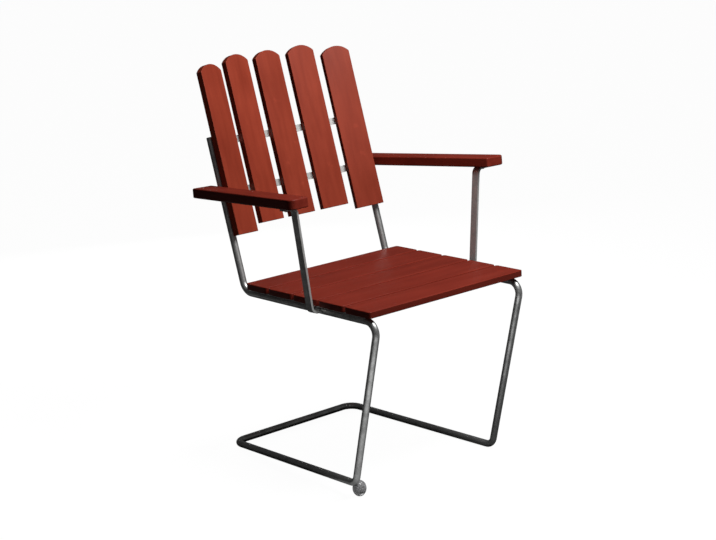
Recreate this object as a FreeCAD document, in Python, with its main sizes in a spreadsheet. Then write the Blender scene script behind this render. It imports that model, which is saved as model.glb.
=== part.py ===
import FreeCAD, Part
import math
import os
import Sketcher
from FreeCAD import Placement, Rotation, Vector

# Cantilever garden armchair: wooden slats on one bent round bar.
# X is the sitter's left, Y runs from the front to the back, Z is up and the floor is Z = 0.
# All lengths are in millimetres and all angles in degrees.

SIZES = (
    # The bent bar. Insets are from the slats' ends to the rails' axes, and from these to the axes below.
    ("bar_radius", "8"),
    ("rail_inset", "14.85"),
    ("foot_inset", "5"),
    ("rear_floor_inset", "32.5"),
    ("rear_bend_radius", "30"),
    ("front_bend_radius", "26"),
    ("foot_bend_radius", "22"),
    ("floor_bend_radius", "31"),
    ("bar_end_chamfer", "1"),
    # The seat's front edge is this far in front of the origin.
    ("seat_front_reach", "298.4"),
    ("seat_height", "440"),
    ("seat_fall_share", "0.0214"),
    # Distances behind the seat's front edge, along the floor.
    ("front_bend_reach", "8.3"),
    ("foot_setback", "84.5"),
    ("rear_floor_setback", "548"),
    # The right front foot stands higher than the left one, on a round glide.
    ("foot_lift", "26"),
    ("glide_radius", "15.4"),
    ("glide_half_height", "18.2"),
    ("glide_inset", "14.5"),
    ("glide_setback", "5.5"),
    ("glide_flat", "0.4"),
    # Seat slats, and the flat strips between them and the rails. The strips are flush with the rails'
    # outer sides and reach past their inner sides by the ledge, where the screws are.
    ("seat_slat_length", "465.7"),
    ("seat_slat_depth", "80.4"),
    ("seat_rear_slat_depth", "73.6"),
    ("seat_slat_thickness", "14.6"),
    ("seat_slat_gap", "4.6"),
    ("seat_slat_corner_radius", "6.5"),
    ("seat_slat_rounding", "1.5"),
    ("seat_strip_ledge", "14"),
    ("seat_strip_thickness", "3"),
    ("seat_strip_front_inset", "28"),
    ("seat_strip_rear_inset", "6"),
    # Back slats. The back leans, and its slats stand on a curve that is open to the front.
    # The slats' lower ends are this far above the seat, and their middles lie at these shares of the
    # way to the rails.
    ("back_lean_angle", "16.75"),
    ("back_setback", "479"),
    ("back_gap", "101.8"),
    ("back_curve_radius", "740"),
    ("back_slat_width", "71.6"),
    ("back_slat_thickness", "15.5"),
    ("back_slat_shoulder", "375.4"),
    ("back_slat_rise", "16.2"),
    ("inner_slat_share", "0.44"),
    ("outer_slat_share", "0.857"),
    ("outer_slat_drop", "16.2"),
    ("back_slat_rounding", "1.2"),
    # Flat bars behind the back slats. Rises are along the slats, from their lower ends.
    ("back_rail_overhang", "1"),
    ("back_rail_height", "16"),
    ("back_rail_thickness", "4"),
    ("upper_rail_rise", "200.7"),
    ("lower_rail_rise", "84.1"),
    ("upright_rise", "213.9"),
    # Arm posts. Outsets are from the rails' axes.
    ("post_width", "19"),
    ("post_thickness", "5"),
    ("post_setback", "172"),
    ("post_lean_angle", "2.3"),
    ("post_foot_outset", "29.8"),
    ("post_flare_angle", "6.4"),
    ("post_top_reach", "31"),
    ("post_foot_bend_radius", "14"),
    ("post_top_bend_radius", "14"),
    # Armrests. Their front ends are cut at a slant, so that the outer corners reach further forward.
    ("arm_width", "52.5"),
    ("arm_rear_width", "52"),
    ("arm_front_slant", "13"),
    ("arm_thickness", "22"),
    ("arm_front_setback", "140.4"),
    ("arm_rise", "233.2"),
    ("arm_length", "398"),
    ("arm_slope_angle", "5.05"),
    ("arm_front_outset", "50.4"),
    ("arm_front_corner_radius", "14"),
    ("arm_rear_corner_radius", "5"),
    ("arm_inner_corner_radius", "4"),
    ("arm_rounding", "3"),
    # Fasteners
    ("seat_screw_radius", "2.5"),
    ("seat_screw_head_radius", "4.5"),
    ("seat_screw_head_height", "3"),
    ("back_screw_radius", "2"),
    ("back_screw_head_radius", "4"),
    ("back_screw_head_height", "2.6"),
    ("screw_bite", "10.5"),
    ("screw_tip", "2.5"),
    ("screw_crown_share", "0.6"),
    ("screw_shoulder_share", "0.9"),
    ("slot_width", "1.1"),
    ("slot_depth", "1.2"),
    ("arm_screw_bite", "14"),
    ("arm_rear_screw_bite", "30"),
    # Clearances
    ("seat_clearance", "0.2"),
    ("bar_clearance", "0.1"),
    ("hole_clearance", "0.08"),
    ("spot_face_margin", "0.3"),
    ("cut_overrun", "1"),
    # Derived sizes
    ("seat_slat_half_length", "=seat_slat_length / 2"),
    ("rail_half_spacing", "=seat_slat_half_length - rail_inset"),
    ("foot_half_spacing", "=rail_half_spacing - foot_inset"),
    ("rear_floor_half_spacing", "=rail_half_spacing - rear_floor_inset"),
    ("seat_strip_width", "=2 * bar_radius + seat_strip_ledge"),
    ("seat_screw_offset", "=rail_half_spacing - bar_radius - seat_strip_ledge / 2"),
    ("back_height", "=seat_height + back_gap"),
    ("inner_slat_offset", "=rail_half_spacing * inner_slat_share"),
    ("outer_slat_offset", "=rail_half_spacing * outer_slat_share"),
    ("back_rail_length", "=2 * (rail_half_spacing + back_rail_overhang)"),
    ("arm_front_height", "=seat_height + arm_rise"),
    ("arm_front_offset", "=rail_half_spacing + arm_front_outset"),
    ("post_foot_offset", "=rail_half_spacing + post_foot_outset"),
    ("seat_slat_half_depth", "=seat_slat_depth / 2"),
    ("seat_rear_slat_half_depth", "=seat_rear_slat_depth / 2"),
    ("back_slat_half_width", "=back_slat_width / 2"),
    ("crown_radius", "=(back_slat_half_width^2 + back_slat_rise^2) / (2 * back_slat_rise)"),
    ("seat_hole_radius", "=seat_screw_radius + hole_clearance"),
    ("back_hole_radius", "=back_screw_radius + hole_clearance"),
    ("groove_radius", "=bar_radius + bar_clearance"),
    ("seat_spot_radius", "=seat_screw_head_radius + spot_face_margin"),
    ("pilot_depth", "=screw_bite + cut_overrun"),
    ("arm_pilot_depth", "=arm_screw_bite + cut_overrun"),
)

doc = FreeCAD.newDocument("garden_armchair")
sizes = doc.addObject("Spreadsheet::Sheet", "sizes")
for row, (alias, text) in enumerate(SIZES, 1):
    sizes.set(f"A{row}", alias)
    sizes.set(f"B{row}", text)
    sizes.setAlias(f"B{row}", alias)
doc.recompute()

ALONG_X = Vector(1, 0, 0)
ALONG_Y = Vector(0, 1, 0)
ALONG_Z = Vector(0, 0, 1)
SIDES = (("left", 1), ("right", -1))
nodes = []


def size(alias):
    """Value of a sheet cell; a leading minus sign turns it round."""
    if alias.startswith("-"):
        return -size(alias[1:])
    return float(sizes.get(alias))


def bound(alias):
    """The same value as an expression."""
    return f"-sizes.{alias[1:]}" if alias.startswith("-") else f"sizes.{alias}"


def turned(axis, angle):
    return Placement(Vector(), Rotation(axis, angle))


def moved(x, y, z):
    return Placement(Vector(x, y, z), Rotation())


# Where things are

bar = size("bar_radius")
front_y = -size("seat_front_reach")
seat_slope = math.degrees(math.atan(size("seat_fall_share")))
# Seat frame: its origin is the middle of the seat's front top edge, its XY plane is the seat's top.
seat = moved(0, front_y, size("seat_height")) * turned(ALONG_X, -seat_slope)
strip_drop = size("seat_slat_thickness") + size("seat_clearance") + size("seat_strip_thickness")
rail_drop = strip_drop + size("bar_clearance") + bar

# Back frame: its origin is the lower end of the middle slat's front, its Z axis runs up the slats.
lean = math.radians(size("back_lean_angle"))
back_foot = moved(0, front_y + size("back_setback"), size("back_height"))
back = back_foot * turned(ALONG_X, -size("back_lean_angle"))
curve = size("back_curve_radius")
# A flat slat touches the curved bar behind it with its two edges.
flat_part = size("back_slat_half_width") - size("back_slat_rounding")
slat_back_radius = curve + size("back_slat_thickness")
rail_inner_radius = math.hypot(slat_back_radius, flat_part) + size("bar_clearance")
rail_outer_radius = rail_inner_radius + size("back_rail_thickness")
# The uprights stand behind the flat bars' ends.
upright_reach = rail_outer_radius + size("bar_clearance") + bar
upright_y = math.sqrt(upright_reach ** 2 - size("rail_half_spacing") ** 2) - curve


def back_spot(offset, radius, rise):
    """Placement on the back's curve: Y points out of the curve, Z runs up the slats."""
    angle = math.degrees(math.asin(offset / curve))
    return back * moved(0, -curve, rise) * turned(ALONG_Z, -angle) * moved(0, radius, 0)


def rail_height(y):
    """Height of the seat rails' axis."""
    level = size("seat_height") - rail_drop / math.cos(math.radians(seat_slope))
    return level - size("seat_fall_share") * (y - front_y)


def meet(share, level, start_y):
    """Where the uprights' axis meets the plane z = level - share * (y - start_y)."""
    foot = back.multVec(Vector(0, upright_y, 0))
    slant = math.tan(lean)
    y = (foot.y + slant * (level + share * start_y - foot.z)) / (1 + slant * share)
    return Vector(0, y, level - share * (y - start_y))


rear_bend = meet(size("seat_fall_share"), rail_height(front_y), front_y)

# Armrest frame: its origin is the inner front corner of the top, its Y axis runs to the back.
arm_share = math.tan(math.radians(size("arm_slope_angle")))
arm_front_y = front_y + size("arm_front_setback")
half_arm = size("arm_thickness") / 2 / math.cos(math.radians(size("arm_slope_angle")))
arm_screw_spot = meet(arm_share, size("arm_front_height") - half_arm, arm_front_y)
arm_top_spot = meet(arm_share, size("arm_front_height"), arm_front_y)
# The armrest's inner edge touches the upright's outer side at the height of its top.
arm_run = arm_top_spot.y - arm_front_y
touch = size("rail_half_spacing") + bar + size("bar_clearance")
arm_splay = math.degrees(math.atan((size("arm_front_offset") - touch) / arm_run))
arm = moved(size("arm_front_offset"), arm_front_y, size("arm_front_height"))
arm = arm * turned(ALONG_Z, arm_splay) * turned(ALONG_X, -size("arm_slope_angle"))

# Post frame: its origin is on the seat rail's axis, level with the post's welded lower end.
post_y = front_y + size("post_setback")
post_lean = math.radians(size("post_lean_angle"))
post = moved(0, post_y, rail_height(post_y)) * turned(ALONG_X, -size("post_lean_angle"))


# Underside of the armrest on the post frame's Z axis.
under_level = size("arm_front_height") - 2 * half_arm - arm_share * (post.Base.y - arm_front_y)
under_z = (under_level - post.Base.z) / (math.cos(post_lean) + arm_share * math.sin(post_lean))
# The flange's edge stands off a little, because the armrest slopes more than the post leans.
twist = math.radians(size("arm_slope_angle") - size("post_lean_angle"))
stand_off = size("bar_clearance") + size("post_width") / 2 * abs(math.tan(twist))
top_flange_z = under_z - stand_off - size("post_thickness") / 2
post_top_offset = size("post_foot_offset") + top_flange_z * math.tan(math.radians(size("post_flare_angle")))
post_flange_tip = post_top_offset + size("post_top_reach")
arm_screw_offset = post_flange_tip - size("post_width") / 2


# Tools for building

def own_plane(body, role):
    return [item for item in body.Origin.OriginFeatures if item.Role == role][0]


def new_body(label):
    body = doc.addObject("PartDesign::Body", label)
    body.Label = label
    return body


def new_sketch(body, role, name):
    sketch = body.newObject("Sketcher::SketchObject", name)
    sketch.AttachmentSupport = [(own_plane(body, role), "")]
    sketch.MapMode = "FlatFace"
    return sketch


def pin_point(sketch, shape, end, x_alias, y_alias):
    """Ties one point of a sketch to two sheet cells; None puts it on the axis."""
    for kind, axis, alias in (("DistanceX", -2, x_alias), ("DistanceY", -1, y_alias)):
        if alias is None:
            sketch.addConstraint(Sketcher.Constraint("PointOnObject", shape, end, axis))
            continue
        place = sketch.addConstraint(Sketcher.Constraint(kind, -1, 1, shape, end, size(alias)))
        sketch.setExpression(f"Constraints[{place}]", bound(alias))


def draw_outline(sketch, corners):
    """Closed outline of straight sides through the corners."""
    count = len(corners)
    spots = [Vector(size(x) if x else 0, size(y) if y else 0, 0) for x, y in corners]
    for index, (x_alias, y_alias) in enumerate(corners):
        sketch.addGeometry(Part.LineSegment(spots[index], spots[(index + 1) % count]))
        pin_point(sketch, index, 1, x_alias, y_alias)
    for index in range(count):
        sketch.addConstraint(Sketcher.Constraint("Coincident", index, 2, (index + 1) % count, 1))


def draw_crowned_outline(sketch, corners, crown):
    """Straight sides through the corners, closed with an arc of the crown's radius."""
    spots = [Vector(size(x) if x else 0, size(y) if y else 0, 0) for x, y in corners]
    arc = len(corners) - 1
    for index in range(arc):
        sketch.addGeometry(Part.LineSegment(spots[index], spots[index + 1]))
        pin_point(sketch, index, 1, *corners[index])
    for index in range(1, arc):
        sketch.addConstraint(Sketcher.Constraint("Coincident", index - 1, 2, index, 1))
    pin_point(sketch, arc - 1, 2, *corners[arc])
    chord = spots[arc].distanceToPoint(spots[0])
    sag = size(crown) - math.sqrt(size(crown) ** 2 - (chord / 2) ** 2)
    middle = (spots[arc] + spots[0]) * 0.5 + Vector(0, sag, 0)
    sketch.addGeometry(Part.Arc(spots[arc], middle, spots[0]))
    # The arc's ends swap places if the kernel stores it the other way round.
    drawn = sketch.Geometry[arc]
    kept = drawn.StartPoint.distanceToPoint(spots[arc]) < drawn.EndPoint.distanceToPoint(spots[arc])
    first_end, second_end = (1, 2) if kept else (2, 1)
    sketch.addConstraint(Sketcher.Constraint("Coincident", arc - 1, 2, arc, first_end))
    sketch.addConstraint(Sketcher.Constraint("Coincident", arc, second_end, 0, 1))
    place = sketch.addConstraint(Sketcher.Constraint("Radius", arc, size(crown)))
    sketch.setExpression(f"Constraints[{place}]", bound(crown))


def add_pad(body, sketch, alias, backwards=False):
    pad = body.newObject("PartDesign::Pad", "pad")
    pad.Profile = sketch
    pad.setExpression("Length", bound(alias))
    pad.Reversed = backwards
    sketch.Visibility = False
    doc.recompute()
    return pad


def add_fillet(body, base, alias, wanted):
    """Rounds the edges that the test picks."""
    names = [f"Edge{place}" for place, edge in enumerate(base.Shape.Edges, 1) if wanted(edge)]
    fillet = body.newObject("PartDesign::Fillet", "rounding")
    fillet.Base = (base, names)
    fillet.setExpression("Radius", bound(alias))
    body.Tip = fillet
    doc.recompute()
    return fillet


def stands_up(edge):
    """Test for the vertical edges of a board."""
    return edge.BoundBox.ZLength > size("seat_slat_rounding")


def lies_flat(edge):
    return not stands_up(edge)


def add_holes(body, sketch, spots, radius_alias, depth_alias, backwards):
    """Blind holes of one radius at sheet-bound spots of a sketch."""
    for index, (x_alias, y_alias) in enumerate(spots):
        middle = Vector(size(x_alias) if x_alias else 0, size(y_alias) if y_alias else 0, 0)
        sketch.addGeometry(Part.Circle(middle, ALONG_Z, size(radius_alias)))
        pin_point(sketch, index, 3, x_alias, y_alias)
        place = sketch.addConstraint(Sketcher.Constraint("Radius", index, size(radius_alias)))
        sketch.setExpression(f"Constraints[{place}]", bound(radius_alias))
    before = body.Shape.Volume
    pocket = body.newObject("PartDesign::Pocket", "holes")
    pocket.Profile = sketch
    pocket.setExpression("Length", bound(depth_alias))
    pocket.Reversed = backwards
    body.Tip = pocket
    doc.recompute()
    if pocket.Shape.Volume >= before:
        raise RuntimeError(f"holes of {body.Label} remove nothing")
    return pocket


def new_cylinder(name, radius_alias, height, placement):
    """Round tool or shank that stands on its placement and runs along its Z axis."""
    tool = doc.addObject("Part::Cylinder", name)
    tool.setExpression("Radius", bound(radius_alias))
    tool.Height = height
    tool.Placement = placement
    return tool


def drilled(label, base, tools):
    """The base without the tools."""
    holes = doc.addObject("Part::Compound", f"{label}_holes")
    holes.Links = tools
    result = doc.addObject("Part::Cut", label)
    result.Base = base
    result.Tool = holes
    result.Label = label
    return result


def group(label, part, placements):
    """Several copies of one fastener as one node."""
    item = doc.addObject("Part::Feature", label)
    shapes = []
    for placement in placements:
        copy = part.Shape.copy()
        copy.Placement = placement
        shapes.append(copy)
    item.Shape = Part.makeCompound(shapes)
    item.Label = label
    nodes.append(item)
    return item


def mirrored(label, source):
    item = doc.addObject("Part::Mirroring", label)
    item.Source = source
    item.Normal = ALONG_X
    item.Label = label
    nodes.append(item)
    return item


def across(placement):
    """The same place on the other side of the middle plane, for round things."""
    direction = placement.Rotation.multVec(ALONG_Z)
    other = Vector(-direction.x, direction.y, direction.z)
    base = Vector(-placement.Base.x, placement.Base.y, placement.Base.z)
    return Placement(base, Rotation(ALONG_Z, other))


def rounded_path(corners, radii):
    """Straight runs through the corners, joined by tangent arcs."""
    edges = []
    start = corners[0]
    for before, corner, after, radius in zip(corners, corners[1:], corners[2:], radii):
        back_way = (before - corner).normalize()
        on_way = (after - corner).normalize()
        half_turn = (math.pi - back_way.getAngle(on_way)) / 2
        reach = radius * math.tan(half_turn)
        inward = (back_way + on_way).normalize()
        arc_start = corner + back_way * reach
        arc_end = corner + on_way * reach
        arc_middle = corner + inward * (radius / math.cos(half_turn) - radius)
        edges.append(Part.LineSegment(start, arc_start).toShape())
        edges.append(Part.Arc(arc_start, arc_middle, arc_end).toShape())
        start = arc_end
    edges.append(Part.LineSegment(start, corners[-1]).toShape())
    return Part.Wire(edges)


# Frame

def bar_corner(side, setback, half_spacing, height):
    return Vector(side * size(half_spacing), front_y + setback, height)


def side_corners(side):
    """Corners of one side of the bar, from the upright's top to the rear corner on the floor."""
    top = back.multVec(Vector(side * size("rail_half_spacing"), upright_y, size("upright_rise")))
    bend = Vector(side * size("rail_half_spacing"), rear_bend.y, rear_bend.z)
    front_bend_y = -size("front_bend_reach")
    knee = bar_corner(side, front_bend_y, "rail_half_spacing", rail_height(front_y + front_bend_y))
    lift = size("foot_lift") if side < 0 else 0
    foot = bar_corner(side, size("foot_setback"), "foot_half_spacing", bar + lift)
    rear = bar_corner(side, size("rear_floor_setback"), "rear_floor_half_spacing", bar)
    return [top, bend, knee, foot, rear]


side_radii = [size("rear_bend_radius"), size("front_bend_radius"), size("foot_bend_radius"),
              size("floor_bend_radius")]
left_side = side_corners(1)
right_side = side_corners(-1)
bar_path = rounded_path(left_side + right_side[::-1], side_radii + side_radii[::-1])


def swept_bar(radius):
    """The bar, or a groove for it, along the whole path."""
    start = left_side[0]
    ring = Part.Wire(Part.makeCircle(radius, start, left_side[1] - start))
    return bar_path.makePipeShell([ring], True, False)


bent_bar = doc.addObject("Part::Feature", "bent_bar")
blank = swept_bar(bar)
end_rings = [edge for edge in blank.Edges
             if edge.Closed and edge.BoundBox.ZMin > size("back_height")
             and isinstance(edge.Curve, Part.Circle)]
bent_bar.Shape = blank.makeChamfer(size("bar_end_chamfer"), end_rings)

slat_depths = ["seat_slat_depth"] * 4 + ["seat_rear_slat_depth"]
slat_middles = []
reached = 0
for depth in slat_depths:
    slat_middles.append(reached + size(depth) / 2)
    reached += size(depth) + size("seat_slat_gap")
seat_depth = reached - size("seat_slat_gap")
# Seat screws go up through the strips, one at each end of each slat.
seat_screw_places = [seat * moved(side * size("seat_screw_offset"), middle, -strip_drop)
                     for middle in slat_middles for _, side in SIDES]

# The rear armrest screws go through the uprights from the inside; each head seats on a small flat.
spot_level = math.sqrt(bar ** 2 - size("seat_spot_radius") ** 2)
# Tools start one bar radius in front of the flat.
sunk = moved(0, 0, -bar)
through = 2 * bar + spot_level + size("cut_overrun")
frame_tools = []
rear_screw_place = moved(size("rail_half_spacing") - spot_level, arm_screw_spot.y, arm_screw_spot.z)
rear_screw_place = rear_screw_place * turned(ALONG_Y, 90)
rear_screw_places = [rear_screw_place, across(rear_screw_place)]
for (word, _), place in zip(SIDES, rear_screw_places):
    frame_tools.append(new_cylinder(f"arm_hole_{word}", "seat_hole_radius", through, place * sunk))
    frame_tools.append(new_cylinder(f"arm_spot_{word}", "seat_spot_radius", bar, place * sunk))
frame = drilled("frame", bent_bar, frame_tools)
nodes.append(frame)

# Seat slats


def seat_slat(number, depth_alias, half_depth_alias, middle):
    body = new_body(f"seat_slat_{number}")
    outline = new_sketch(body, "XY_Plane", "outline")
    ends = ("seat_slat_half_length", "-seat_slat_half_length")
    draw_outline(outline, [(ends[1], f"-{half_depth_alias}"), (ends[0], f"-{half_depth_alias}"),
                           (ends[0], half_depth_alias), (ends[1], half_depth_alias)])
    board = add_pad(body, outline, "seat_slat_thickness")
    rounded = add_fillet(body, board, "seat_slat_corner_radius", stands_up)
    add_fillet(body, rounded, "seat_slat_rounding", lies_flat)
    pilot = new_sketch(body, "XY_Plane", "pilot_holes")
    add_holes(body, pilot, [("seat_screw_offset", None), ("-seat_screw_offset", None)],
              "seat_hole_radius", "pilot_depth", True)
    body.Placement = seat * moved(0, middle, -size("seat_slat_thickness"))
    nodes.append(body)


for number, (depth, middle) in enumerate(zip(slat_depths, slat_middles), 1):
    seat_slat(number, depth, depth.replace("_depth", "_half_depth"), middle)

# Flat strips welded on the rails, under the seat slats


def seat_strip(word, side):
    strip = doc.addObject("Part::Box", f"seat_strip_{word}_blank")
    strip.setExpression("Length", bound("seat_strip_width"))
    strip.Width = seat_depth - size("seat_strip_front_inset") - size("seat_strip_rear_inset")
    strip.setExpression("Height", bound("seat_strip_thickness"))
    half_width = size("seat_strip_width") / 2
    middle_x = side * (size("rail_half_spacing") + bar - half_width)
    strip.Placement = seat * moved(middle_x - half_width, size("seat_strip_front_inset"), -strip_drop)
    tools = []
    for number, middle in enumerate(slat_middles, 1):
        start = seat * moved(side * size("seat_screw_offset"), middle, -strip_drop - size("cut_overrun"))
        depth = size("seat_strip_thickness") + 2 * size("cut_overrun")
        tools.append(new_cylinder(f"strip_{word}_hole_{number}", "seat_hole_radius", depth, start))
    nodes.append(drilled(f"seat_strip_{word}", strip, tools))


for word, side in SIDES:
    seat_strip(word, side)

# Back slats

OUTER = ("outer_slat_offset", "outer_slat_drop")
INNER = ("inner_slat_offset", None)
back_row = ((-1,) + OUTER, (-1,) + INNER, (0,) + INNER, (1,) + INNER, (1,) + OUTER)
rail_rises = ("upper_rail_rise", "lower_rail_rise")
back_spots = []
for side, offset_alias, drop_alias in back_row:
    back_spots.append((side * size(offset_alias), size(drop_alias) if drop_alias else 0))


def back_slat(number, offset, drop):
    body = new_body(f"back_slat_{number}")
    outline = new_sketch(body, "XZ_Plane", "outline")
    half = "back_slat_half_width"
    draw_crowned_outline(outline, [(f"-{half}", "back_slat_shoulder"), (f"-{half}", None), (half, None),
                                   (half, "back_slat_shoulder")], "crown_radius")
    board = add_pad(body, outline, "back_slat_thickness", backwards=True)
    add_fillet(body, board, "back_slat_rounding", lambda edge: True)
    body.Placement = back_spot(offset, curve, -drop)
    return body


for number, (offset, drop) in enumerate(back_spots, 1):
    blank = back_slat(number, offset, drop)
    blank.Label = f"back_slat_{number}_blank"
    tools = []
    for rise in rail_rises:
        place = back_spot(offset, rail_outer_radius, size(rise)) * turned(ALONG_X, 90)
        depth = rail_outer_radius - slat_back_radius + size("pilot_depth")
        tools.append(new_cylinder(f"back_pilot_{number}_{rise}", "back_hole_radius", depth, place))
    nodes.append(drilled(f"back_slat_{number}", blank, tools))

# Flat bars behind the back


def back_rail(word, rise_alias):
    ring = []
    for layer, radius in (("outer", rail_outer_radius), ("inner", rail_inner_radius)):
        piece = doc.addObject("Part::Cylinder", f"{word}_{layer}_round")
        piece.Radius = radius
        piece.setExpression("Height", bound("back_rail_height"))
        piece.Placement = back * moved(0, -curve, size(rise_alias) - size("back_rail_height") / 2)
        ring.append(piece)
    hoop = doc.addObject("Part::Cut", f"{word}_hoop")
    hoop.Base, hoop.Tool = ring
    reach = doc.addObject("Part::Box", f"{word}_reach")
    reach.setExpression("Length", bound("back_rail_length"))
    reach.Width = curve
    reach.setExpression("Height", bound("back_rail_height"))
    reach.Placement = back * moved(-size("back_rail_length") / 2, -curve / 2,
                                   size(rise_alias) - size("back_rail_height") / 2)
    strip = doc.addObject("Part::Common", f"{word}_strip")
    strip.Base = hoop
    strip.Tool = reach
    tools = []
    for number, (offset, _) in enumerate(back_spots, 1):
        start = back_spot(offset, rail_outer_radius + size("cut_overrun"), size(rise_alias))
        depth = size("back_rail_thickness") + 2 * size("cut_overrun")
        tools.append(new_cylinder(f"{word}_hole_{number}", "back_hole_radius", depth,
                                  start * turned(ALONG_X, 90)))
    nodes.append(drilled(f"back_rail_{word}", strip, tools))


for word, rise in zip(("upper", "lower"), rail_rises):
    back_rail(word, rise)

# Arm posts

post_corners = [Vector(size("rail_half_spacing"), 0, 0),
                Vector(size("post_foot_offset"), 0, 0),
                Vector(post_top_offset, 0, top_flange_z),
                Vector(post_flange_tip, 0, top_flange_z)]
post_path = rounded_path(post_corners, [size("post_foot_bend_radius"), size("post_top_bend_radius")])


def flat_section(start, half_width, half_thickness):
    """Rectangle across the X axis for a flat bar."""
    ring = [start + Vector(0, y * half_width, z * half_thickness)
            for y, z in ((-1, -1), (1, -1), (1, 1), (-1, 1), (-1, -1))]
    return Part.makePolygon(ring)


post_blank = doc.addObject("Part::Feature", "post_blank")
post_blank.Shape = post_path.makePipeShell(
    [flat_section(post_corners[0], size("post_width") / 2, size("post_thickness") / 2)], True, False)
post_blank.Placement = post
# Armrest screws go up through the top flange.
arm_screw_place = post * moved(arm_screw_offset, 0, top_flange_z - size("post_thickness") / 2)
post_through = size("post_thickness") + 2 * size("cut_overrun")
start_low = moved(0, 0, -size("cut_overrun"))
# The lower end is shaped to the rail's round side and welded to it.
cope_place = seat * moved(size("rail_half_spacing"), size("post_setback") - size("post_width"), -rail_drop)
arm_post_left = drilled("arm_post_left", post_blank, [
    new_cylinder("post_cope", "groove_radius", 2 * size("post_width"), cope_place * turned(ALONG_X, -90)),
    new_cylinder("post_top_hole", "seat_hole_radius", post_through, arm_screw_place * start_low)])
nodes.append(arm_post_left)
mirrored("arm_post_right", arm_post_left)

# Armrests

arm_body = new_body("armrest_board")
arm_outline = new_sketch(arm_body, "XY_Plane", "outline")
draw_outline(arm_outline, [(None, None), ("arm_width", "-arm_front_slant"),
                           ("arm_rear_width", "arm_length"), (None, "arm_length")])
arm_board = add_pad(arm_body, arm_outline, "arm_thickness", backwards=True)


def upright_at(x, y):
    """Test for the vertical edge at a corner of the board."""
    near = size("arm_rounding")

    def test(edge):
        middle = edge.CenterOfMass
        return stands_up(edge) and abs(middle.x - x) < near and abs(middle.y - y) < near
    return test


outer_front = upright_at(size("arm_width"), -size("arm_front_slant"))
outer_rear = upright_at(size("arm_rear_width"), size("arm_length"))
rounded = add_fillet(arm_body, arm_board, "arm_front_corner_radius", outer_front)
rounded = add_fillet(arm_body, rounded, "arm_rear_corner_radius", outer_rear)
inner_front, inner_rear = upright_at(0, 0), upright_at(0, size("arm_length"))
rounded = add_fillet(arm_body, rounded, "arm_inner_corner_radius",
                     lambda edge: inner_front(edge) or inner_rear(edge))
add_fillet(arm_body, rounded, "arm_rounding", lies_flat)
arm_body.Placement = arm
rear_pilot_depth = 2 * bar + size("arm_rear_screw_bite") + size("cut_overrun")
armrest_left = drilled("armrest_left", arm_body, [
    new_cylinder("arm_front_pilot", "seat_hole_radius", size("post_thickness") + size("arm_pilot_depth"),
                 arm_screw_place),
    new_cylinder("arm_rear_pilot", "seat_hole_radius", rear_pilot_depth, rear_screw_place)])
nodes.append(armrest_left)
mirrored("armrest_right", armrest_left)

# Foot glide

foot = right_side[3]
ball = doc.addObject("Part::Ellipsoid", "glide_ball")
ball.setExpression("Radius1", bound("glide_half_height"))
ball.setExpression("Radius2", bound("glide_radius"))
ball.setExpression("Radius3", bound("glide_radius"))
ball.Placement = moved(foot.x + size("glide_inset"), foot.y + size("glide_setback"),
                       size("glide_half_height") - size("glide_flat"))
floor_block = doc.addObject("Part::Box", "glide_floor")
for direction in ("Length", "Width", "Height"):
    floor_block.setExpression(direction, "3 * sizes.glide_radius")
floor_block.Placement = moved(foot.x - size("glide_radius"), foot.y - 1.5 * size("glide_radius"),
                              -3 * size("glide_radius"))
bar_groove = doc.addObject("Part::Feature", "glide_groove")
bar_groove.Shape = swept_bar(size("groove_radius"))
nodes.append(drilled("foot_glide", ball, [floor_block, bar_groove]))

# Screws


def round_screw(name, head_radius, head_height, radius, length):
    """Slotted round-headed screw, turned; its head lies below Z = 0 and its shank above."""
    tip = length - size("screw_tip")
    crown, shoulder = size("screw_crown_share"), size("screw_shoulder_share")
    profile = [(0, -head_height), (head_radius * crown, -head_height),
               (head_radius * shoulder, -head_height * crown), (head_radius, 0), (radius, 0),
               (radius, tip), (0, length)]
    spots = [Vector(distance, 0, height) for distance, height in profile]
    face = Part.Face(Part.makePolygon(spots + spots[:1]))
    screw = doc.addObject("Part::Feature", f"{name}_turned")
    screw.Shape = face.revolve(Vector(), ALONG_Z, 360)
    slot = doc.addObject("Part::Box", f"{name}_slot")
    slot.Length = 2 * head_radius
    slot.setExpression("Width", bound("slot_width"))
    slot.Height = size("slot_depth") + size("cut_overrun")
    slot.Placement = moved(-head_radius, -size("slot_width") / 2, -head_height - size("cut_overrun"))
    result = drilled(name, screw, [slot])
    doc.recompute()
    return result


def large_screw(name, length):
    return round_screw(name, size("seat_screw_head_radius"), size("seat_screw_head_height"),
                       size("seat_screw_radius"), length)


through_strip = strip_drop - size("seat_slat_thickness")
seat_screw = large_screw("seat_screw", through_strip + size("screw_bite"))
group("seat_screws", seat_screw, seat_screw_places)

back_screw_length = rail_outer_radius - slat_back_radius + size("screw_bite")
back_screw = round_screw("back_screw", size("back_screw_head_radius"), size("back_screw_head_height"),
                         size("back_screw_radius"), back_screw_length)
group("back_screws", back_screw, [
    back_spot(offset, rail_outer_radius, size(rise)) * turned(ALONG_X, 90)
    for offset, _ in back_spots for rise in rail_rises])

arm_screw = large_screw("arm_screw", size("post_thickness") + size("arm_screw_bite"))
group("armrest_front_screws", arm_screw, [arm_screw_place, across(arm_screw_place)])

rear_screw = large_screw("rear_screw", 2 * bar + size("arm_rear_screw_bite"))
group("armrest_rear_screws", rear_screw, rear_screw_places)

# Checks and export

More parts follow.
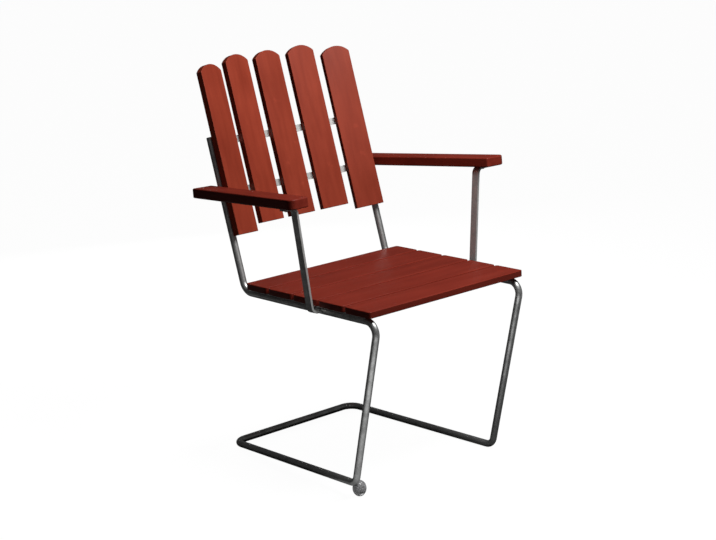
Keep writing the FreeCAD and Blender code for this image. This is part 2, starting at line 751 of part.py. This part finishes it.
doc.recompute()
for item in doc.Objects:
    if "Invalid" in item.State or "Error" in item.State:
        raise RuntimeError(f"{item.Label} failed: {item.State}")
os.makedirs("parts", exist_ok=True)
for node in nodes:
    if node.Shape.isNull() or not node.Shape.isValid() or not node.Shape.Solids:
        raise RuntimeError(f"{node.Label} has no valid solid")
    node.Shape.exportStep(os.path.join("parts", f"{node.Label}.step"))
    box = node.Shape.BoundBox
    print(f"{node.Label}: {len(node.Shape.Solids)} solids, x {box.XMin:.1f}..{box.XMax:.1f}, "
          f"y {box.YMin:.1f}..{box.YMax:.1f}, z {box.ZMin:.1f}..{box.ZMax:.1f}")
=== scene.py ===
import math
import random
import bmesh
import bpy
from mathutils import Matrix, Vector


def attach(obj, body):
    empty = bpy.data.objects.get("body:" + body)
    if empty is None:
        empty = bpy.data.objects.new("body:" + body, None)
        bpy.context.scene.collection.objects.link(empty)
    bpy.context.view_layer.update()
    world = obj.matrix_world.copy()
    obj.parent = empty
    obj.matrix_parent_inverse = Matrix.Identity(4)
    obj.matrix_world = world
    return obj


# Cantilever garden armchair around its CAD frame. Metres.
# The sitter faces -Y, and +X is the sitter's left.

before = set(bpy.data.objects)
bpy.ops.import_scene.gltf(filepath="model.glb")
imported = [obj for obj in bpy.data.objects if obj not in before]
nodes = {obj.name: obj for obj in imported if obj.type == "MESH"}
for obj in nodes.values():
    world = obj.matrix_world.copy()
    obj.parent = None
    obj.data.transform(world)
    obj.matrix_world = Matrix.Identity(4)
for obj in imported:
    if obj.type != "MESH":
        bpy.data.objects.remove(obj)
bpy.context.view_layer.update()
scene = bpy.context.scene

IMAGE_WIDTH = 716
SENSOR = 36.0
FOCAL_PIXELS = 1750.0
CAMERA_PLACE = Vector((-2.5609, -2.9014, 1.4296))
CAMERA_YAW = math.radians(41.4703)
CAMERA_PITCH = math.radians(-14.4098)
CAMERA_ROLL = math.radians(-1.9879)

# Seat and arm reds are darker copies of the back's red paint: painted shade for the lower light on the
# seat and arms
SEAT_SHADED_DEEP = (0.158, 0.0175, 0.0098, 1.0)
SEAT_SHADED_PALE = (0.198, 0.0245, 0.0142, 1.0)
BACK_DEEP = (0.214, 0.0290, 0.0140, 1.0)
BACK_PALE = (0.268, 0.0400, 0.0195, 1.0)
ARM_SHADED_DEEP = (0.140, 0.0150, 0.0085, 1.0)
ARM_SHADED_PALE = (0.184, 0.0225, 0.0130, 1.0)
BAR_STEEL = (0.63, 0.635, 0.63, 1.0)
BAR_DULL = (0.42, 0.425, 0.42, 1.0)
FLAT_STEEL = (0.58, 0.585, 0.57, 1.0)
FLAT_DULL = (0.42, 0.425, 0.415, 1.0)
WELD_STEEL = (0.62, 0.62, 0.60, 1.0)
WELD_DULL = (0.36, 0.355, 0.345, 1.0)
SCREW_ZINC = (0.50, 0.50, 0.48, 1.0)
SCREW_DULL = (0.36, 0.36, 0.35, 1.0)
GLIDE_GREY = (0.50, 0.50, 0.51, 1.0)
GLIDE_SCUFFED = (0.28, 0.28, 0.28, 1.0)
WHITE = (1.0, 1.0, 1.0, 1.0)

# A noise is drawn out along the axis with the small factor
ALL_WAYS = (1.0, 1.0, 1.0)
ALONG_X_STRETCH = (0.08, 1.0, 1.0)
ALONG_Y_STRETCH = (1.0, 0.08, 1.0)
ALONG_Z_STRETCH = (1.0, 0.35, 0.08)
# Scale and detail of each noise
GRAIN = (60.0, 4.0)
BRUSH = (420.0, 2.0)
BLOTCH = (9.0, 3.0)
SCUFF = (38.0, 8.0)
PLASTIC_WEAR = (110.0, 6.0)
CLOUD_DETAIL = 5.0
# Most of a noise's values lie between these two
MIDDLE_LEVELS = (0.3, 0.7)

# In the pairs below the lower value comes first. A bump is its distance in metres and its strength.
# Paint
PAINT_GLOSS = 0.12
PAINT_ROUGHNESS = (0.36, 0.46)
BOARD_SHADE = (0.97, 1.03)
BLOTCH_SHADE = (0.93, 1.07)
SCUFF_SHADE = (1.0, 1.18)
SCUFF_LEVELS = (0.66, 0.74)
EDGE_REACH = 0.0022
EDGE_MATCH = (0.90, 0.995)
# Edges are paler by these factors: partly worn paint, partly a painted highlight along the rounded
# edges, strongest on the seat slats
SEAT_EDGE_WEAR_AND_HIGHLIGHT = 1.6
OTHER_EDGE_WEAR_AND_HIGHLIGHT = 1.15
BRUSH_SHARE = 0.25
PAINT_BUMP = (0.0004, 0.4)

# Steel
CRYSTALS_PER_CLOUD = 9.0
CRYSTAL_SHADE = (0.90, 1.10)
BARE_SPREAD = 0.08
METAL_BUMP = (0.0002, 0.25)

# Plastic
PLASTIC_ROUGHNESS = (0.06, 0.26)
PLASTIC_SCUFF_LEVELS = (0.55, 0.68)
PLASTIC_ROUGH_LEVELS = (0.52, 0.7)
PLASTIC_CLEARNESS = 0.35
PLASTIC_IOR = 1.46
PLASTIC_BUMP = (0.0002, 0.15)

# Light. Metal and gloss see a bright band in front of the chair and three pale patches on the floor.
SKY_FILL = 0.035
BAND_FOOT = 0.04
BAND_TOP = 0.30
BAND_SHARE = 0.10
SKY_SHARE = 0.04
# The band fades out this far on each side of the chair's middle plane
FRONT_RAMP = 0.3
FLOOR_SIZE = 30.0
FLOOR_LEVEL = -0.0005
FLOOR_ROUGHNESS = 0.9
FLOOR_BOUNCE = (0.08, 0.08, 0.08, 1.0)
FLOOR_SEEN = (0.8, 0.8, 0.8, 1.0)
FLOOR_GLOW_SHARE = 0.90
FLOOR_GLOW = 1.08
BACKDROP = 0.98
# Middle of a patch, its inner and outer reach and its level
FLOOR_PATCHES = (((-0.55, -0.75, 0.0), 0.35, 0.75, 1.0), ((1.5, -1.4, 0.0), 0.4, 1.5, 0.35),
                 ((-0.75, 1.3, 0.0), 0.2, 0.7, 0.35))
KEY_PLACE, KEY_SIDE, KEY_POWER = (0.15, -0.68, 1.66), 0.6, 24.5
REAR_PLACE, REAR_SIDE, REAR_POWER = (0.9, 2.0, 1.0), 1.0, 22.0
LAMP_AIM = (0.0, 0.1, 0.6)


def new_material(name):
    material = bpy.data.materials.new(name)
    material.use_nodes = True
    return material, material.node_tree.nodes, material.node_tree.links


def mixed_colour(tree_nodes, links, factor, low, high):
    """Colour between two values, by a factor socket."""
    mix = tree_nodes.new("ShaderNodeMix")
    mix.data_type = "RGBA"
    links.new(factor, mix.inputs["Factor"])
    mix.inputs["A"].default_value = low
    mix.inputs["B"].default_value = high
    return mix.outputs["Result"]


def stretched_noise(tree_nodes, links, stretch, grain):
    """Noise on the object's own coordinates, drawn out along the axis with the small factor."""
    scale, detail = grain
    place = tree_nodes.new("ShaderNodeTexCoord")
    mapping = tree_nodes.new("ShaderNodeMapping")
    mapping.inputs["Scale"].default_value = stretch
    links.new(place.outputs["Object"], mapping.inputs["Vector"])
    noise = tree_nodes.new("ShaderNodeTexNoise")
    noise.inputs["Scale"].default_value = scale
    noise.inputs["Detail"].default_value = detail
    links.new(mapping.outputs["Vector"], noise.inputs["Vector"])
    return noise.outputs["Fac"]


def add_bump(tree_nodes, links, shader, height, depth):
    distance, strength = depth
    bump = tree_nodes.new("ShaderNodeBump")
    bump.inputs["Distance"].default_value = distance
    bump.inputs["Strength"].default_value = strength
    links.new(height, bump.inputs["Height"])
    links.new(bump.outputs["Normal"], shader.inputs["Normal"])


def spread(tree_nodes, links, value, result, levels=MIDDLE_LEVELS):
    """Value socket brought from the range of levels to that of the result."""
    span = tree_nodes.new("ShaderNodeMapRange")
    for word, number in zip(("From Min", "From Max", "To Min", "To Max"), (*levels, *result)):
        span.inputs[word].default_value = number
    links.new(value, span.inputs["Value"])
    return span.outputs["Result"]


def combined(tree_nodes, links, operation, *values):
    """Value sockets put together, two at a time, by one operation."""
    result = values[0]
    for value in values[1:]:
        step = tree_nodes.new("ShaderNodeMath")
        step.operation = operation
        links.new(result, step.inputs[0])
        links.new(value, step.inputs[1])
        result = step.outputs[0]
    return result


def scaled_colour(tree_nodes, links, colour, value):
    """Colour socket made lighter or darker by a value socket."""
    shade = tree_nodes.new("ShaderNodeVectorMath")
    shade.operation = "SCALE"
    links.new(colour, shade.inputs[0])
    links.new(value, shade.inputs["Scale"])
    return shade.outputs["Vector"]


def near_edge(tree_nodes, links):
    """1 along the edges of a shape and 0 on its flat faces."""
    rounded = tree_nodes.new("ShaderNodeBevel")
    rounded.inputs["Radius"].default_value = EDGE_REACH
    true = tree_nodes.new("ShaderNodeNewGeometry")
    match = tree_nodes.new("ShaderNodeVectorMath")
    match.operation = "DOT_PRODUCT"
    links.new(rounded.outputs["Normal"], match.inputs[0])
    links.new(true.outputs["Normal"], match.inputs[1])
    return spread(tree_nodes, links, match.outputs["Value"], (1.0, 0.0), EDGE_MATCH)


def painted_wood(name, stretch, deep, pale, edge_wear_and_highlight):
    """Satin paint over planed boards.

    Grain and brush marks run along the board. Blotches and scuffs vary it, and its edges are paler:
    partly worn paint, partly a painted highlight.
    """
    material, tree_nodes, links = new_material(name)
    shader = tree_nodes["Principled BSDF"]
    grain = stretched_noise(tree_nodes, links, stretch, GRAIN)
    brush = stretched_noise(tree_nodes, links, stretch, BRUSH)
    blotch = stretched_noise(tree_nodes, links, ALL_WAYS, BLOTCH)
    scuff = stretched_noise(tree_nodes, links, ALL_WAYS, SCUFF)
    shader.inputs["Specular IOR Level"].default_value = PAINT_GLOSS
    own = tree_nodes.new("ShaderNodeObjectInfo")
    board = spread(tree_nodes, links, own.outputs["Random"], BOARD_SHADE, (0.0, 1.0))
    cloud = spread(tree_nodes, links, blotch, BLOTCH_SHADE)
    worn = spread(tree_nodes, links, scuff, SCUFF_SHADE, SCUFF_LEVELS)
    # Paler edges: worn paint and a painted highlight
    edge = spread(tree_nodes, links, near_edge(tree_nodes, links), (1.0, edge_wear_and_highlight), (0.0, 1.0))
    shade = combined(tree_nodes, links, "MULTIPLY", board, cloud, worn, edge)
    colour = mixed_colour(tree_nodes, links, spread(tree_nodes, links, grain, (0.0, 1.0)), deep, pale)
    links.new(scaled_colour(tree_nodes, links, colour, shade), shader.inputs["Base Color"])
    satin = spread(tree_nodes, links, blotch, PAINT_ROUGHNESS)
    links.new(combined(tree_nodes, links, "MULTIPLY", satin, worn), shader.inputs["Roughness"])
    strokes = spread(tree_nodes, links, brush, (0.0, BRUSH_SHARE))
    add_bump(tree_nodes, links, shader, combined(tree_nodes, links, "ADD", grain, strokes), PAINT_BUMP)
    return material


def metal(name, dull, bright, roughness, scale, bare):
    """Galvanised steel with fine crystals, cloudy dull patches and a film that scatters the light.

    The scale is that of the patches, and bare is the share that the film leaves open.
    """
    material, tree_nodes, links = new_material(name)
    shader = tree_nodes["Principled BSDF"]
    cloud = stretched_noise(tree_nodes, links, ALL_WAYS, (scale, CLOUD_DETAIL))
    place = tree_nodes.new("ShaderNodeTexCoord")
    crystals = tree_nodes.new("ShaderNodeTexVoronoi")
    crystals.inputs["Scale"].default_value = CRYSTALS_PER_CLOUD * scale
    links.new(place.outputs["Object"], crystals.inputs["Vector"])
    tones = tree_nodes.new("ShaderNodeSeparateXYZ")
    links.new(crystals.outputs["Color"], tones.inputs[0])
    sparkle = spread(tree_nodes, links, tones.outputs["X"], CRYSTAL_SHADE, (0.0, 1.0))
    colour = mixed_colour(tree_nodes, links, spread(tree_nodes, links, cloud, (0.0, 1.0)), dull, bright)
    links.new(scaled_colour(tree_nodes, links, colour, sparkle), shader.inputs["Base Color"])
    smooth, rough = roughness
    links.new(spread(tree_nodes, links, cloud, (rough, smooth)), shader.inputs["Roughness"])
    film = spread(tree_nodes, links, cloud, (bare - BARE_SPREAD, bare + BARE_SPREAD))
    links.new(film, shader.inputs["Metallic"])
    add_bump(tree_nodes, links, shader, cloud, METAL_BUMP)
    return material


def moulded_plastic(name, scuffed, clean):
    """Clouded grey plastic with a polished skin that is scuffed in places."""
    material, tree_nodes, links = new_material(name)
    shader = tree_nodes["Principled BSDF"]
    wear = stretched_noise(tree_nodes, links, ALL_WAYS, PLASTIC_WEAR)
    intact = spread(tree_nodes, links, wear, (1.0, 0.0), PLASTIC_SCUFF_LEVELS)
    links.new(mixed_colour(tree_nodes, links, intact, scuffed, clean), shader.inputs["Base Color"])
    rough = spread(tree_nodes, links, wear, PLASTIC_ROUGHNESS, PLASTIC_ROUGH_LEVELS)
    links.new(rough, shader.inputs["Roughness"])
    shader.inputs["Transmission Weight"].default_value = PLASTIC_CLEARNESS
    shader.inputs["IOR"].default_value = PLASTIC_IOR
    add_bump(tree_nodes, links, shader, wear, PLASTIC_BUMP)
    return material


# Seat and arm paints are the back's paint, darkened by painted shade
seat_shaded_paint = painted_wood("seat_shaded_paint", ALONG_X_STRETCH, SEAT_SHADED_DEEP, SEAT_SHADED_PALE, SEAT_EDGE_WEAR_AND_HIGHLIGHT)
back_paint = painted_wood("back_paint", ALONG_Z_STRETCH, BACK_DEEP, BACK_PALE, OTHER_EDGE_WEAR_AND_HIGHLIGHT)
arm_shaded_paint = painted_wood("arm_shaded_paint", ALONG_Y_STRETCH, ARM_SHADED_DEEP, ARM_SHADED_PALE, OTHER_EDGE_WEAR_AND_HIGHLIGHT)
bar_steel = metal("bar_steel", BAR_DULL, BAR_STEEL, roughness=(0.36, 0.48), scale=45.0, bare=0.86)
flat_steel = metal("flat_steel", FLAT_DULL, FLAT_STEEL, roughness=(0.40, 0.52), scale=60.0, bare=0.38)
screw_steel = metal("screw_steel", SCREW_DULL, SCREW_ZINC, roughness=(0.28, 0.38), scale=200.0, bare=0.9)
weld_steel = metal("weld_steel", WELD_DULL, WELD_STEEL, roughness=(0.34, 0.50), scale=160.0, bare=0.8)
glide_plastic = moulded_plastic("glide_plastic", GLIDE_SCUFFED, GLIDE_GREY)


def material_for(name):
    if name.startswith("seat_slat"):
        return seat_shaded_paint
    if name.startswith("back_slat"):
        return back_paint
    if name in ("armrest_left", "armrest_right"):
        return arm_shaded_paint
    if name.startswith(("back_rail", "arm_post", "seat_strip")):
        return flat_steel
    if name == "frame":
        return bar_steel
    if name == "foot_glide":
        return glide_plastic
    return screw_steel


for name, item in nodes.items():
    item.data.materials.clear()
    item.data.materials.append(material_for(name))


# Welds. Lengths in millimetres until the mesh is made; the left side, mirrored for the right.
MILLIMETRE = 0.001
MIRROR = Vector((-1.0, 1.0, 1.0))
MIRROR_SEED = 100
WELD_SIDES = 12
WELD_RIPPLE = 1.1
RINGS_PER_RIPPLE = 6
RIPPLE_DEPTH = 0.14
WELD_UNEVENNESS = 0.04
THINNEST_WELD = 0.05
# In the corners between the flat bars' backs and the uprights, level with each bar's lower edge
BACK_BAR_FEET = (Vector((211.0, 228.4, 729.3)), Vector((211.0, 194.8, 617.7)))
UP_THE_BACK = Vector((0.0, 0.2882, 0.9576))
BACK_WELD_START, BACK_WELD_END, BACK_WELD_RADIUS = 1.5, 14.5, 1.9
# The rear end of the seat rail's axis, and the rail's direction
RAIL_END = Vector((218.0, 113.36, 405.28))
ALONG_RAIL = Vector((0.0, -0.9998, 0.0214))
# Offsets from that axis, places along it, lengths and radii
OVER_POST_FOOT = Vector((8.3, 0.0, 3.3))
UNDER_POST_FOOT = Vector((8.3, 0.0, -3.1))
POST_WELD_PLACE, POST_WELD_LENGTH, POST_WELD_RADIUS = 231.5, 16.0, 1.9
BEFORE_POST_FOOT = Vector((6.2, 0.0, 4.6))
BLOB_PLACE, BLOB_LENGTH, BLOB_RADIUS = 250.0, 13.0, 2.6
UNDER_SEAT_STRIP = Vector((-5.8, 0.0, 6.5))
STRIP_WELD_PLACES, STRIP_WELD_LENGTH, STRIP_WELD_RADIUS = (28.0, 180.0, 340.0), 14.0, 1.6


def rail_weld(offset, place, length, radius):
    """Start, end and radius of a bead along the seat rail."""
    start = RAIL_END + offset + place * ALONG_RAIL
    return start, start + length * ALONG_RAIL, radius


def weld_spots():
    """Start, end and radius of every weld bead on the left side."""
    spots = []
    for foot in BACK_BAR_FEET:
        start, end = foot + BACK_WELD_START * UP_THE_BACK, foot + BACK_WELD_END * UP_THE_BACK
        spots.append((start, end, BACK_WELD_RADIUS))
    for offset in (OVER_POST_FOOT, UNDER_POST_FOOT):
        spots.append(rail_weld(offset, POST_WELD_PLACE, POST_WELD_LENGTH, POST_WELD_RADIUS))
    spots.append(rail_weld(BEFORE_POST_FOOT, BLOB_PLACE, BLOB_LENGTH, BLOB_RADIUS))
    for place in STRIP_WELD_PLACES:
        spots.append(rail_weld(UNDER_SEAT_STRIP, place, STRIP_WELD_LENGTH, STRIP_WELD_RADIUS))
    return spots


def lay_bead(mesh, start, end, radius, seed):
    """Rippled bead with rounded ends."""
    chance = random.Random(seed)
    run = end - start
    ahead = run.normalized()
    side = ahead.orthogonal().normalized()
    over = ahead.cross(side)
    count = int(run.length / WELD_RIPPLE) * RINGS_PER_RIPPLE
    rings = []
    for step in range(count + 1):
        share = step / count
        wave = abs(math.cos(math.pi * share * run.length / WELD_RIPPLE))
        ripple = 1.0 - RIPPLE_DEPTH + RIPPLE_DEPTH * wave
        near_end = min(share, 1.0 - share) * run.length / radius
        cap = math.sqrt(max(0.0, 1.0 - (1.0 - min(1.0, near_end)) ** 2))
        uneven = chance.uniform(1.0 - WELD_UNEVENNESS, 1.0 + WELD_UNEVENNESS)
        width = max(THINNEST_WELD, radius * ripple * cap * uneven)
        middle = start + share * run
        ring = []
        for number in range(WELD_SIDES):
            angle = 2.0 * math.pi * number / WELD_SIDES
            spot = middle + width * (math.cos(angle) * side + math.sin(angle) * over)
            ring.append(mesh.verts.new(spot * MILLIMETRE))
        rings.append(ring)
    for first, second in zip(rings, rings[1:]):
        for number in range(WELD_SIDES):
            after = (number + 1) % WELD_SIDES
            mesh.faces.new((first[number], first[after], second[after], second[number]))
    mesh.faces.new(list(reversed(rings[0])))
    mesh.faces.new(rings[-1])


def add_welds():
    mesh = bmesh.new()
    for number, (start, end, radius) in enumerate(weld_spots()):
        lay_bead(mesh, start, end, radius, number)
        lay_bead(mesh, start * MIRROR, end * MIRROR, radius, MIRROR_SEED + number)
    bmesh.ops.recalc_face_normals(mesh, faces=mesh.faces)
    data = bpy.data.meshes.new("weld_beads")
    mesh.to_mesh(data)
    mesh.free()
    for face in data.polygons:
        face.use_smooth = True
    welds = bpy.data.objects.new("weld_beads", data)
    scene.collection.objects.link(welds)
    data.materials.append(weld_steel)
    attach(welds, "root")


def seen_share(tree_nodes, links, glossy_share):
    """1 for camera and see-through rays, the given socket for mirror rays and 0 for light."""
    path = tree_nodes.new("ShaderNodeLightPath")
    mirror = combined(tree_nodes, links, "MULTIPLY", path.outputs["Is Glossy Ray"], glossy_share)
    seen = combined(tree_nodes, links, "MAXIMUM", mirror, path.outputs["Is Camera Ray"],
                    path.outputs["Is Transmission Ray"])
    return path, seen


def add_world():
    """White backdrop for what is seen; metal sees it as a band on the horizon in front of the chair."""
    world = bpy.data.worlds.new("studio")
    scene.world = world
    world.use_nodes = True
    tree_nodes, links = world.node_tree.nodes, world.node_tree.links
    dim = tree_nodes["Background"]
    dim.inputs["Color"].default_value = WHITE
    dim.inputs["Strength"].default_value = SKY_FILL
    bright = tree_nodes.new("ShaderNodeBackground")
    bright.inputs["Color"].default_value = WHITE
    bright.inputs["Strength"].default_value = BACKDROP
    place = tree_nodes.new("ShaderNodeTexCoord")
    split = tree_nodes.new("ShaderNodeSeparateXYZ")
    links.new(place.outputs["Generated"], split.inputs[0])
    height = tree_nodes.new("ShaderNodeMath")
    height.operation = "ABSOLUTE"
    links.new(split.outputs["Z"], height.inputs[0])
    band = spread(tree_nodes, links, height.outputs[0], (BAND_SHARE, SKY_SHARE), (BAND_FOOT, BAND_TOP))
    front = spread(tree_nodes, links, split.outputs["Y"], (1.0, 0.0), (-FRONT_RAMP, FRONT_RAMP))
    _, seen = seen_share(tree_nodes, links, combined(tree_nodes, links, "MULTIPLY", band, front))
    mix = tree_nodes.new("ShaderNodeMixShader")
    links.new(seen, mix.inputs[0])
    links.new(dim.outputs[0], mix.inputs[1])
    links.new(bright.outputs[0], mix.inputs[2])
    links.new(mix.outputs[0], tree_nodes["World Output"].inputs["Surface"])


def add_floor():
    """Pale floor that keeps a faint shadow."""
    bpy.ops.mesh.primitive_plane_add(size=FLOOR_SIZE, location=(0.0, 0.0, FLOOR_LEVEL))
    floor = bpy.context.object
    floor.name = "studio_floor"
    material, tree_nodes, links = new_material("floor_pale")
    shader = tree_nodes["Principled BSDF"]
    shader.inputs["Roughness"].default_value = FLOOR_ROUGHNESS
    shader.inputs["Specular IOR Level"].default_value = 0.0
    spot = tree_nodes.new("ShaderNodeNewGeometry")
    patches = []
    for middle, reach, edge, level in FLOOR_PATCHES:
        away = tree_nodes.new("ShaderNodeVectorMath")
        away.operation = "DISTANCE"
        links.new(spot.outputs["Position"], away.inputs[0])
        away.inputs[1].default_value = middle
        patches.append(spread(tree_nodes, links, away.outputs["Value"], (level, 0.0), (reach, edge)))
    path, seen = seen_share(tree_nodes, links, combined(tree_nodes, links, "MAXIMUM", *patches))
    shade = tree_nodes.new("ShaderNodeMix")
    shade.data_type = "RGBA"
    links.new(path.outputs["Is Camera Ray"], shade.inputs["Factor"])
    shade.inputs["A"].default_value = FLOOR_BOUNCE
    shade.inputs["B"].default_value = FLOOR_SEEN
    links.new(shade.outputs["Result"], shader.inputs["Base Color"])
    share = tree_nodes.new("ShaderNodeMath")
    share.operation = "MULTIPLY"
    links.new(seen, share.inputs[0])
    share.inputs[1].default_value = FLOOR_GLOW_SHARE
    glow = tree_nodes.new("ShaderNodeEmission")
    glow.inputs["Color"].default_value = WHITE
    glow.inputs["Strength"].default_value = FLOOR_GLOW
    mix = tree_nodes.new("ShaderNodeMixShader")
    links.new(share.outputs[0], mix.inputs[0])
    links.new(shader.outputs[0], mix.inputs[1])
    links.new(glow.outputs[0], mix.inputs[2])
    links.new(mix.outputs[0], tree_nodes["Material Output"].inputs["Surface"])
    floor.data.materials.append(material)


def add_lamp(name, place, side, power, in_mirrors):
    data = bpy.data.lights.new(name, "AREA")
    data.size = side
    data.energy = power
    lamp = bpy.data.objects.new(name, data)
    scene.collection.objects.link(lamp)
    lamp.location = place
    lamp.visible_camera = False
    lamp.visible_glossy = in_mirrors
    lamp.rotation_euler = (Vector(LAMP_AIM) - Vector(place)).to_track_quat("-Z", "Y").to_euler()


def add_camera():
    """Camera solved from the photograph."""
    ahead = Vector((math.sin(CAMERA_YAW) * math.cos(CAMERA_PITCH),
                    math.cos(CAMERA_YAW) * math.cos(CAMERA_PITCH), math.sin(CAMERA_PITCH)))
    level = Vector((math.cos(CAMERA_YAW), -math.sin(CAMERA_YAW), 0.0))
    upward = level.cross(ahead)
    turn, lean = math.cos(CAMERA_ROLL), math.sin(CAMERA_ROLL)
    right = turn * level + lean * upward
    up = turn * upward - lean * level
    data = bpy.data.cameras.new("photo_camera")
    data.sensor_width = SENSOR
    data.lens = FOCAL_PIXELS * SENSOR / IMAGE_WIDTH
    camera = bpy.data.objects.new("photo_camera", data)
    scene.collection.objects.link(camera)
    rotation = Matrix((right, up, -ahead)).transposed().to_4x4()
    camera.matrix_world = Matrix.Translation(CAMERA_PLACE) @ rotation
    scene.camera = camera


add_welds()
add_world()
add_floor()
add_lamp("key", KEY_PLACE, KEY_SIDE, KEY_POWER, True)
add_lamp("rear", REAR_PLACE, REAR_SIDE, REAR_POWER, False)
add_camera()
scene.view_settings.view_transform = "Standard"
